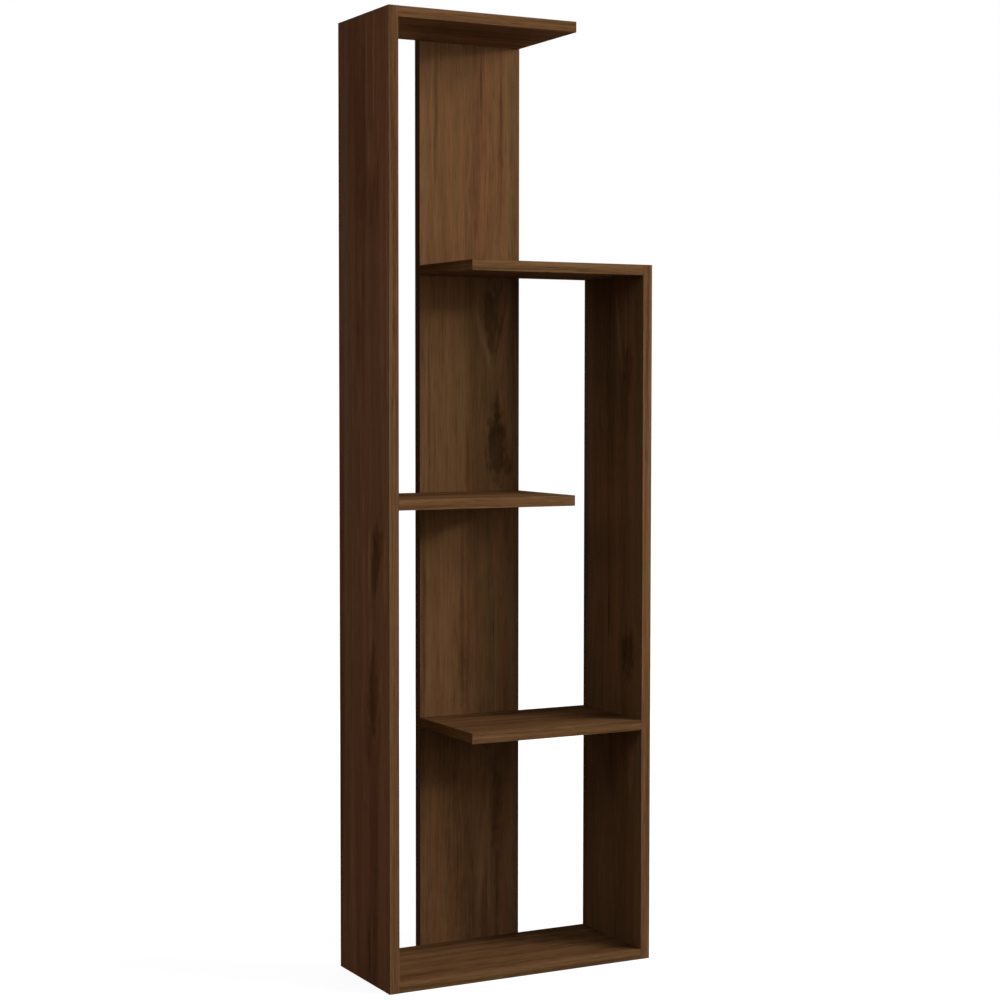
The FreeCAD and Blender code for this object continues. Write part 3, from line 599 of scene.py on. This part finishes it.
for sheet, board in enumerate(FLAT_BOARDS, start=14):
    cut = LEVEL_BAND_PRINT._replace(tone=LEVEL_BAND_PRINT.tone + BAND_TONES[board])
    level = walnut(f"walnut_{board}_band", LEVEL_EDGE, sheet, cut, BAND_MARKS.get(board, ()))
    node_materials[f"{board}_front_band"] = level
    node_materials[f"{board}_rear_band"] = level
    if board in SHELVES:
        end = walnut(f"walnut_{board}_end_band", SHELF_END, sheet, END_BAND_PRINT)
        node_materials[f"{board}_end_band"] = end


# Fittings' materials

# Die-cast zinc: frosted grey. Zinc-plated steel: bright, faintly cloudy grey
CASTING_GREYS = ((0.3, "#8f8f8d"), (0.7, "#b0b0ac"))
PLATING_GREYS = ((0.3, "#a3a6a8"), (0.7, "#c6c4bb"))
METAL_OCTAVES = 3.0
METAL_RELIEF = 0.4

# Beech: pale pinkish brown with short flecks, sizes in millimetres
BEECH_COLOURS = ((0.3, "#b98d62"), (0.7, "#d3ab7f"), (0.5, "#c99f72"))
FLECK_ACROSS = 0.8
FLECK_ALONG = 6.0
FLECK_OCTAVES = 2.0
FLECK_RELIEF_MM = 0.1
FLECK_RELIEF = 0.3
BEECH_SMOOTH = 0.7
BEECH_DULL = 0.9

# Polypropylene: dark brown, faintly cloudy. The grains of its skin are about 0.1 mm; they are drawn four
# times as coarse
PLASTIC_BROWNS = ((0.3, "#3b2718"), (0.7, "#48311f"))
CLOUD_MM = 9.0
SKIN_MM = 0.4
PLASTIC_OCTAVES = 2.0
SKIN_RELIEF_MM = 0.05
SKIN_RELIEF = 0.3
PLASTIC_SMOOTH = 0.4
PLASTIC_DULL = 0.6


def metal(name, colours, grain_mm, smooth, dull, relief_mm):
    """A bare or plated metal whose skin varies in shade, gloss and height over grains of one size."""
    material, tree, shader = new_material(name)
    place = add(tree, "ShaderNodeTexCoord").outputs["Object"]
    grains = {"Vector": place, "Scale": MM_PER_M / grain_mm, "Detail": METAL_OCTAVES}
    skin = add(tree, "ShaderNodeTexNoise", grains).outputs[0]
    colour = add(tree, "ShaderNodeValToRGB", {"Fac": skin}, colours).outputs["Color"]
    rough = add(tree, "ShaderNodeMapRange", {"Value": skin, "To Min": smooth, "To Max": dull}).outputs[0]
    raised = {"Height": skin, "Strength": METAL_RELIEF, "Distance": relief_mm / MM_PER_M}
    relief = add(tree, "ShaderNodeBump", raised).outputs[0]
    tree.links.new(colour, shader.inputs["Base Color"])
    tree.links.new(rough, shader.inputs["Roughness"])
    tree.links.new(relief, shader.inputs["Normal"])
    shader.inputs["Metallic"].default_value = 1.0
    return material


def beech(name, along):
    """Turned beech: pale pinkish brown with short dark flecks along the grain, and a dry sawn face."""
    material, tree, shader = new_material(name)
    place = add(tree, "ShaderNodeTexCoord").outputs["Object"]
    stretch = [MM_PER_M / (FLECK_ALONG if axis else FLECK_ACROSS) for axis in along]
    laid = add(tree, "ShaderNodeVectorMath", {0: place, 1: stretch}, operation="MULTIPLY").outputs[0]
    short_lines = {"Vector": laid, "Scale": 1.0, "Detail": FLECK_OCTAVES}
    flecks = add(tree, "ShaderNodeTexNoise", short_lines).outputs[0]
    colour = add(tree, "ShaderNodeValToRGB", {"Fac": flecks}, BEECH_COLOURS).outputs["Color"]
    dulled = {"Value": flecks, "To Min": BEECH_SMOOTH, "To Max": BEECH_DULL}
    rough = add(tree, "ShaderNodeMapRange", dulled).outputs[0]
    raised = {"Height": flecks, "Strength": FLECK_RELIEF, "Distance": FLECK_RELIEF_MM / MM_PER_M}
    relief = add(tree, "ShaderNodeBump", raised).outputs[0]
    tree.links.new(colour, shader.inputs["Base Color"])
    tree.links.new(rough, shader.inputs["Roughness"])
    tree.links.new(relief, shader.inputs["Normal"])
    return material


def moulded_plastic(name):
    """Moulded polypropylene in dark brown: faintly cloudy, with the fine spark-eroded skin of its mould."""
    material, tree, shader = new_material(name)
    place = add(tree, "ShaderNodeTexCoord").outputs["Object"]
    clouds = {"Vector": place, "Scale": MM_PER_M / CLOUD_MM, "Detail": PLASTIC_OCTAVES}
    cloud = add(tree, "ShaderNodeTexNoise", clouds).outputs[0]
    colour = add(tree, "ShaderNodeValToRGB", {"Fac": cloud}, PLASTIC_BROWNS).outputs["Color"]
    grains = {"Vector": place, "Scale": MM_PER_M / SKIN_MM, "Detail": PLASTIC_OCTAVES}
    skin = add(tree, "ShaderNodeTexNoise", grains).outputs[0]
    dulled = {"Value": skin, "To Min": PLASTIC_SMOOTH, "To Max": PLASTIC_DULL}
    rough = add(tree, "ShaderNodeMapRange", dulled).outputs[0]
    raised = {"Height": skin, "Strength": SKIN_RELIEF, "Distance": SKIN_RELIEF_MM / MM_PER_M}
    relief = add(tree, "ShaderNodeBump", raised).outputs[0]
    tree.links.new(colour, shader.inputs["Base Color"])
    tree.links.new(rough, shader.inputs["Roughness"])
    tree.links.new(relief, shader.inputs["Normal"])
    shader.inputs["Specular IOR Level"].default_value = GLOSS
    return material


zinc_casting = metal(
    "zinc_die_casting", CASTING_GREYS, grain_mm=0.5, smooth=0.4, dull=0.6, relief_mm=0.05)
zinc_plating = metal(
    "zinc_plated_steel", PLATING_GREYS, grain_mm=2.0, smooth=0.22, dull=0.4, relief_mm=0.01)
cap_brown = moulded_plastic("brown_polypropylene")
side_beech = beech("beech_side_dowel", X_AXIS)
back_beech = beech("beech_back_dowel", Y_AXIS)

for board in FLAT_BOARDS:
    node_materials[f"{board}_cams"] = zinc_casting
for side in ("left_side", "right_side"):
    node_materials[f"{side}_cam_bolts"] = zinc_plating
    node_materials[f"{side}_dowels"] = side_beech
node_materials["back_panel_dowels"] = back_beech

for node, material in node_materials.items():
    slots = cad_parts[node].data.materials
    slots.clear()
    slots.append(material)


# Turned fittings

# Each ring of points follows its own outline round the Z axis, which points out of the board. Sizes are in
# millimetres

RING_POINTS = 48
SHARP_DEGREES = 40

# Cover cap: a low dome with a rounded rim, and a plus-shaped stem for the cam's driver recess
CAP_RADIUS = 9.0
CAP_THICKNESS = 1.2
CAP_STEM_SPAN = 6.6
CAP_STEM_WIDTH = 1.2
CAP_STEM_DEPTH = 2.0
# The dome's height and radius from its flat middle to its rim, as shares of the cap's
CAP_DOME = ((1.0, 0.2), (0.97, 0.55), (0.86, 0.8), (0.68, 0.93), (0.36, 0.99), (0.0, 1.0))

# Connecting screw: a flush countersunk head with a hexagon socket, a plain shank, a coarse thread and a
# blunt tip
SCREW_HEAD = 5.0
SCREW_RIM = 0.2
SCREW_SOCKET = 4.0
SCREW_SOCKET_DEPTH = 3.0
SCREW_SHANK = 12.0
SCREW_CREST = 3.5
SCREW_CORE = 2.5
SCREW_PITCH = 3.0
SCREW_RIDGE = 0.3
SCREW_TIP = 46.0
SCREW_POINT = 0.5
SCREW_LENGTH = 50.0
RINGS_PER_TURN = 6


def circle(radius):
    """A circle's radius at any angle."""
    return lambda angle: radius


def hexagon(width):
    """The radius of a hexagon of that width across its flats."""
    def radius(angle):
        from_flat = (angle + math.pi / 6) % (math.pi / 3) - math.pi / 6
        return width / 2 / math.cos(from_flat)
    return radius


def plus(span, width):
    """The radius of a plus sign with arms of that width."""
    def radius(angle):
        from_arm = abs((angle + math.pi / 4) % (math.pi / 2) - math.pi / 4)
        end = span / 2 / math.cos(from_arm)
        return min(end, width / 2 / max(math.sin(from_arm), width / span / 2))
    return radius


def thread(depth):
    """The radius of a screw's thread at a depth under its head: a ridge that winds round the core."""
    def radius(angle):
        turns = ((depth - SCREW_SHANK) / SCREW_PITCH - angle / math.tau) % 1
        ridge = max(0.0, 1 - abs(turns - 0.5) / SCREW_RIDGE)
        return SCREW_CORE + (SCREW_CREST - SCREW_CORE) * ridge
    return radius


def cap_rings():
    """The cover cap's rings, from the middle of its dome down to the end of its stem."""
    stem = plus(CAP_STEM_SPAN, CAP_STEM_WIDTH)
    dome = [(height * CAP_THICKNESS, circle(radius * CAP_RADIUS)) for height, radius in CAP_DOME]
    return [*dome, (0.0, stem), (-CAP_STEM_DEPTH, stem)]


def screw_rings():
    """The connecting screw's rings, from the bottom of its socket over its head and down to its tip."""
    rings = [
        (-SCREW_SOCKET_DEPTH, hexagon(SCREW_SOCKET)),
        (-SCREW_RIM, hexagon(SCREW_SOCKET)),
        (0.0, hexagon(SCREW_SOCKET + 2 * SCREW_RIM)),
        (0.0, circle(SCREW_HEAD - 2 * SCREW_RIM)),
        (-SCREW_RIM, circle(SCREW_HEAD - SCREW_RIM)),
        (SCREW_CREST - SCREW_HEAD, circle(SCREW_CREST)),
        (-SCREW_SHANK, circle(SCREW_CREST)),
    ]
    steps = round((SCREW_TIP - SCREW_SHANK) / SCREW_PITCH * RINGS_PER_TURN)
    for step in range(1, steps):
        depth = SCREW_SHANK + step * SCREW_PITCH / RINGS_PER_TURN
        rings.append((-depth, thread(depth)))
    rings.append((-SCREW_TIP, circle(SCREW_CORE)))
    rings.append((-SCREW_LENGTH, circle(SCREW_POINT)))
    return rings


def turned_mesh(name, rings):
    """A closed mesh through rings of height and outline in millimetres."""
    angles = [math.tau * number / RING_POINTS for number in range(RING_POINTS)]
    shape = bmesh.new()
    loops = []
    for height, outline in rings:
        points = [(outline(a) * math.cos(a), outline(a) * math.sin(a), height) for a in angles]
        loops.append([shape.verts.new(Vector(point) / MM_PER_M) for point in points])
    for upper, lower in zip(loops, loops[1:]):
        for number in range(RING_POINTS):
            shape.faces.new((upper[number - 1], upper[number], lower[number], lower[number - 1]))
    shape.faces.new(loops[0])
    shape.faces.new(loops[-1])
    bmesh.ops.recalc_face_normals(shape, faces=shape.faces)
    mesh = bpy.data.meshes.new(name)
    shape.to_mesh(mesh)
    shape.free()
    mesh.shade_smooth()
    mesh.set_sharp_from_angle(angle=math.radians(SHARP_DEGREES))
    return mesh


# Rows of fittings, set out in pairs by one node tree

OUTWARD = "outward"
FITTINGS_PER_ROW = 2


def make_row_tree():
    """Sets a row of one fitting about each point, with its Z axis along the point's outward direction."""
    tree, given, result = new_group(
        "fitting_rows", "GeometryNodeTree",
        {"Points": "NodeSocketGeometry", "Fitting": "NodeSocketObject", "Count": "NodeSocketInt",
         "Spacing": VECTOR, "Finish": "NodeSocketMaterial"},
        {"Geometry": "NodeSocketGeometry"},
    )
    gaps = add(tree, "ShaderNodeMath", {0: given["Count"], 1: 1.0}, operation="SUBTRACT").outputs[0]
    half = add(tree, "ShaderNodeMath", {0: gaps, 1: -0.5}, operation="MULTIPLY").outputs[0]
    back = {0: given["Spacing"], "Scale": half}
    start = add(tree, "ShaderNodeVectorMath", back, operation="SCALE").outputs[0]
    line = {"Count": given["Count"], "Start Location": start, "Offset": given["Spacing"]}
    row = add(tree, "GeometryNodeMeshLine", line).outputs[0]
    repeated = {"Points": given["Points"], "Instance": row}
    rows = add(tree, "GeometryNodeInstanceOnPoints", repeated).outputs[0]
    places = add(tree, "GeometryNodeRealizeInstances", {0: rows}).outputs[0]
    named = {"Name": OUTWARD}
    outward = add(tree, "GeometryNodeInputNamedAttribute", named, data_type="FLOAT_VECTOR").outputs[0]
    turn = add(tree, "FunctionNodeAlignRotationToVector", {"Vector": outward}, axis="Z").outputs[0]
    fitting = add(tree, "GeometryNodeObjectInfo", {"Object": given["Fitting"]}).outputs["Geometry"]
    copies = {"Points": places, "Instance": fitting, "Rotation": turn}
    fixed = add(tree, "GeometryNodeInstanceOnPoints", copies).outputs[0]
    solid = add(tree, "GeometryNodeRealizeInstances", {0: fixed}).outputs[0]
    finished = {"Geometry": solid, "Material": given["Finish"]}
    dressed = add(tree, "GeometryNodeSetMaterial", finished).outputs[0]
    tree.links.new(dressed, result["Geometry"])
    return tree


row_tree = make_row_tree()


def set_rows(name, pattern, points, outward, spacing, finish):
    """Sets a row of a fitting about each point, and gives the fittings back as one plain mesh piece."""
    mesh = bpy.data.meshes.new("fitting_points")
    mesh.from_pydata(points, [], [])
    directions = mesh.attributes.new(OUTWARD, "FLOAT_VECTOR", "POINT")
    for item, direction in zip(directions.data, outward):
        item.vector = direction
    carrier = bpy.data.objects.new("fitting_points", mesh)
    fitting = bpy.data.objects.new("fitting_pattern", pattern)
    bpy.context.scene.collection.objects.link(carrier)
    bpy.context.scene.collection.objects.link(fitting)
    modifier = carrier.modifiers.new("rows", "NODES")
    modifier.node_group = row_tree
    settings = {"Fitting": fitting, "Count": FITTINGS_PER_ROW, "Spacing": spacing, "Finish": finish}
    for socket in row_tree.interface.items_tree:
        if socket.name in settings:
            modifier[socket.identifier] = settings[socket.name]
    evaluated = carrier.evaluated_get(bpy.context.evaluated_depsgraph_get())
    piece = bpy.data.objects.new(name, bpy.data.meshes.new_from_object(evaluated))
    carrier.modifiers.remove(modifier)
    bpy.data.objects.remove(carrier)
    bpy.data.objects.remove(fitting)
    bpy.context.scene.collection.objects.link(piece)
    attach(piece, "root")
    return piece


def make_cover_caps():
    """Two caps over the cams of each shelf: on the top face of the top shelf, and under the others."""
    points = []
    outward = []
    for board in SHELVES:
        low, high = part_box(f"{board}_cam_caps")
        middle = (low + high) / 2
        underside, top = (corner.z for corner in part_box(board))
        on_top = board == "top_shelf"
        points.append((middle.x, middle.y, top if on_top else underside))
        outward.append(Z_AXIS if on_top else -Z_AXIS)
    spacing = high.y - low.y - 2 * CAP_RADIUS / MM_PER_M
    pattern = turned_mesh("cover_cap", cap_rings())
    caps = set_rows("cover_caps", pattern, points, outward, Y_AXIS * spacing, cap_brown)
    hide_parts(*(f"{board}_cam_caps" for board in SHELVES))


def make_connecting_screws():
    """Two screws through the back panel into the rear edge of each flat board."""
    low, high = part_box("back_panel_screws")
    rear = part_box("back_panel")[1].y
    points = []
    for board in FLAT_BOARDS:
        underside, top = (corner.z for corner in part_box(board))
        points.append((0, rear, (underside + top) / 2))
    outward = [Y_AXIS] * len(points)
    spacing = high.x - low.x - 2 * SCREW_HEAD / MM_PER_M
    pattern = turned_mesh("connecting_screw", screw_rings())
    screws = set_rows("connecting_screws", pattern, points, outward, X_AXIS * spacing, zinc_plating)
    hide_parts("back_panel_screws")


make_cover_caps()
make_connecting_screws()


# Stage: a pale floor, a white surround and soft lamps

STAGE_CENTRE = Vector((0, 0, 0.8))
SURROUND_COLOUR = "#ffffff"
SURROUND_LIGHT = 0.207
SURROUND_WHITE = 1.0
FLOOR_GREY = "#7a7a79"
FLOOR_HALF = 30.0
# The floor's own glow is just below white near the object, so that the shadow shows, and white further out
FLOOR_WHITE_NEAR = 0.93
FLOOR_WHITE_FAR = 1.0
FLOOR_NEAR = 0.6
FLOOR_FAR = 2.5


def seen_directly(tree):
    """One for the rays that show the surround to the eye: straight, mirrored or through glass."""
    path = add(tree, "ShaderNodeLightPath").outputs
    straight = {0: path["Is Camera Ray"], 1: path["Is Glossy Ray"]}
    mirrored = add(tree, "ShaderNodeMath", straight, operation="MAXIMUM").outputs[0]
    through = {0: mirrored, 1: path["Is Transmission Ray"]}
    return add(tree, "ShaderNodeMath", through, operation="MAXIMUM").outputs[0]


def make_world():
    """White where it is seen, and dim where it lights the object."""
    world = bpy.data.worlds.new("surround")
    world.use_nodes = True
    tree = world.node_tree
    tree.nodes.clear()
    levels = {"Value": seen_directly(tree), "To Min": SURROUND_LIGHT, "To Max": SURROUND_WHITE}
    level = add(tree, "ShaderNodeMapRange", levels).outputs[0]
    shown = {"Color": linear(SURROUND_COLOUR), "Strength": level}
    background = add(tree, "ShaderNodeBackground", shown).outputs[0]
    add(tree, "ShaderNodeOutputWorld", {"Surface": background})
    bpy.context.scene.world = world


def floor_finish():
    """Pale matt floor that takes the object's shadow and turns white away from it."""
    material = bpy.data.materials.new("pale_floor")
    material.use_nodes = True
    tree = material.node_tree
    tree.nodes.clear()
    place = add(tree, "ShaderNodeTexCoord").outputs["Object"]
    away = add(tree, "ShaderNodeVectorMath", {0: place}, operation="LENGTH").outputs["Value"]
    whitening = {"Value": away, "From Min": FLOOR_NEAR, "From Max": FLOOR_FAR,
                 "To Min": FLOOR_WHITE_NEAR, "To Max": FLOOR_WHITE_FAR}
    white = add(tree, "ShaderNodeMapRange", whitening, interpolation_type="SMOOTHSTEP").outputs[0]
    seen = {0: white, 1: seen_directly(tree)}
    strength = add(tree, "ShaderNodeMath", seen, operation="MULTIPLY").outputs[0]
    glow = add(tree, "ShaderNodeEmission", {"Strength": strength}).outputs[0]
    matt = add(tree, "ShaderNodeBsdfDiffuse", {"Color": linear(FLOOR_GREY)}).outputs[0]
    both = add(tree, "ShaderNodeAddShader", {0: glow, 1: matt}).outputs[0]
    add(tree, "ShaderNodeOutputMaterial", {"Surface": both})
    return material


def make_floor():
    """A wide square floor under the object."""
    corners = [(-FLOOR_HALF, -FLOOR_HALF, 0), (FLOOR_HALF, -FLOOR_HALF, 0),
               (FLOOR_HALF, FLOOR_HALF, 0), (-FLOOR_HALF, FLOOR_HALF, 0)]
    mesh = bpy.data.meshes.new("floor")
    mesh.from_pydata(corners, [], [(0, 1, 2, 3)])
    mesh.materials.append(floor_finish())
    floor = bpy.data.objects.new("floor", mesh)
    bpy.context.scene.collection.objects.link(floor)


def make_lamp(name, azimuth, elevation, distance, size, power):
    """A square soft lamp aimed at the object's middle; its azimuth is degrees to the right of the front."""
    turned = math.radians(azimuth)
    raised = math.radians(elevation)
    level = math.cos(raised)
    outward = Vector((math.sin(turned) * level, -math.cos(turned) * level, math.sin(raised)))
    data = bpy.data.lights.new(name, "AREA")
    data.size = size
    data.energy = power
    lamp = bpy.data.objects.new(name, data)
    lamp.location = STAGE_CENTRE + outward * distance
    lamp.rotation_euler = (-outward).to_track_quat("-Z", "Y").to_euler()
    bpy.context.scene.collection.objects.link(lamp)


make_world()
make_floor()
make_lamp("key_lamp", azimuth=54, elevation=20, distance=3.0, size=2.4, power=100)
make_lamp("far_key_lamp", azimuth=50, elevation=15, distance=6.5, size=0.5, power=128)
make_lamp("left_fill_lamp", azimuth=-60, elevation=25, distance=3.0, size=1.2, power=8)
make_lamp("rear_fill_lamp", azimuth=160, elevation=0, distance=3.0, size=1.0, power=27)


# Camera at the photograph's viewing angle

CAMERA_PLACE = Vector((-1.71617, -3.28189, 0.99318))
CAMERA_LENS = 77.43
CAMERA_YAW = 0.4846
CAMERA_PITCH = -0.051
CAMERA_ROLL = 0.001

camera_data = bpy.data.cameras.new("camera")
camera_data.lens = CAMERA_LENS
camera = bpy.data.objects.new("camera", camera_data)
camera.matrix_world = (
    Matrix.Translation(CAMERA_PLACE)
    @ Matrix.Rotation(-CAMERA_YAW, 4, "Z")
    @ Matrix.Rotation(math.pi / 2 + CAMERA_PITCH, 4, "X")
    @ Matrix.Rotation(CAMERA_ROLL, 4, "Z")
)
bpy.context.scene.collection.objects.link(camera)
bpy.context.scene.camera = camera
bpy.context.scene.view_settings.view_transform = "Standard"
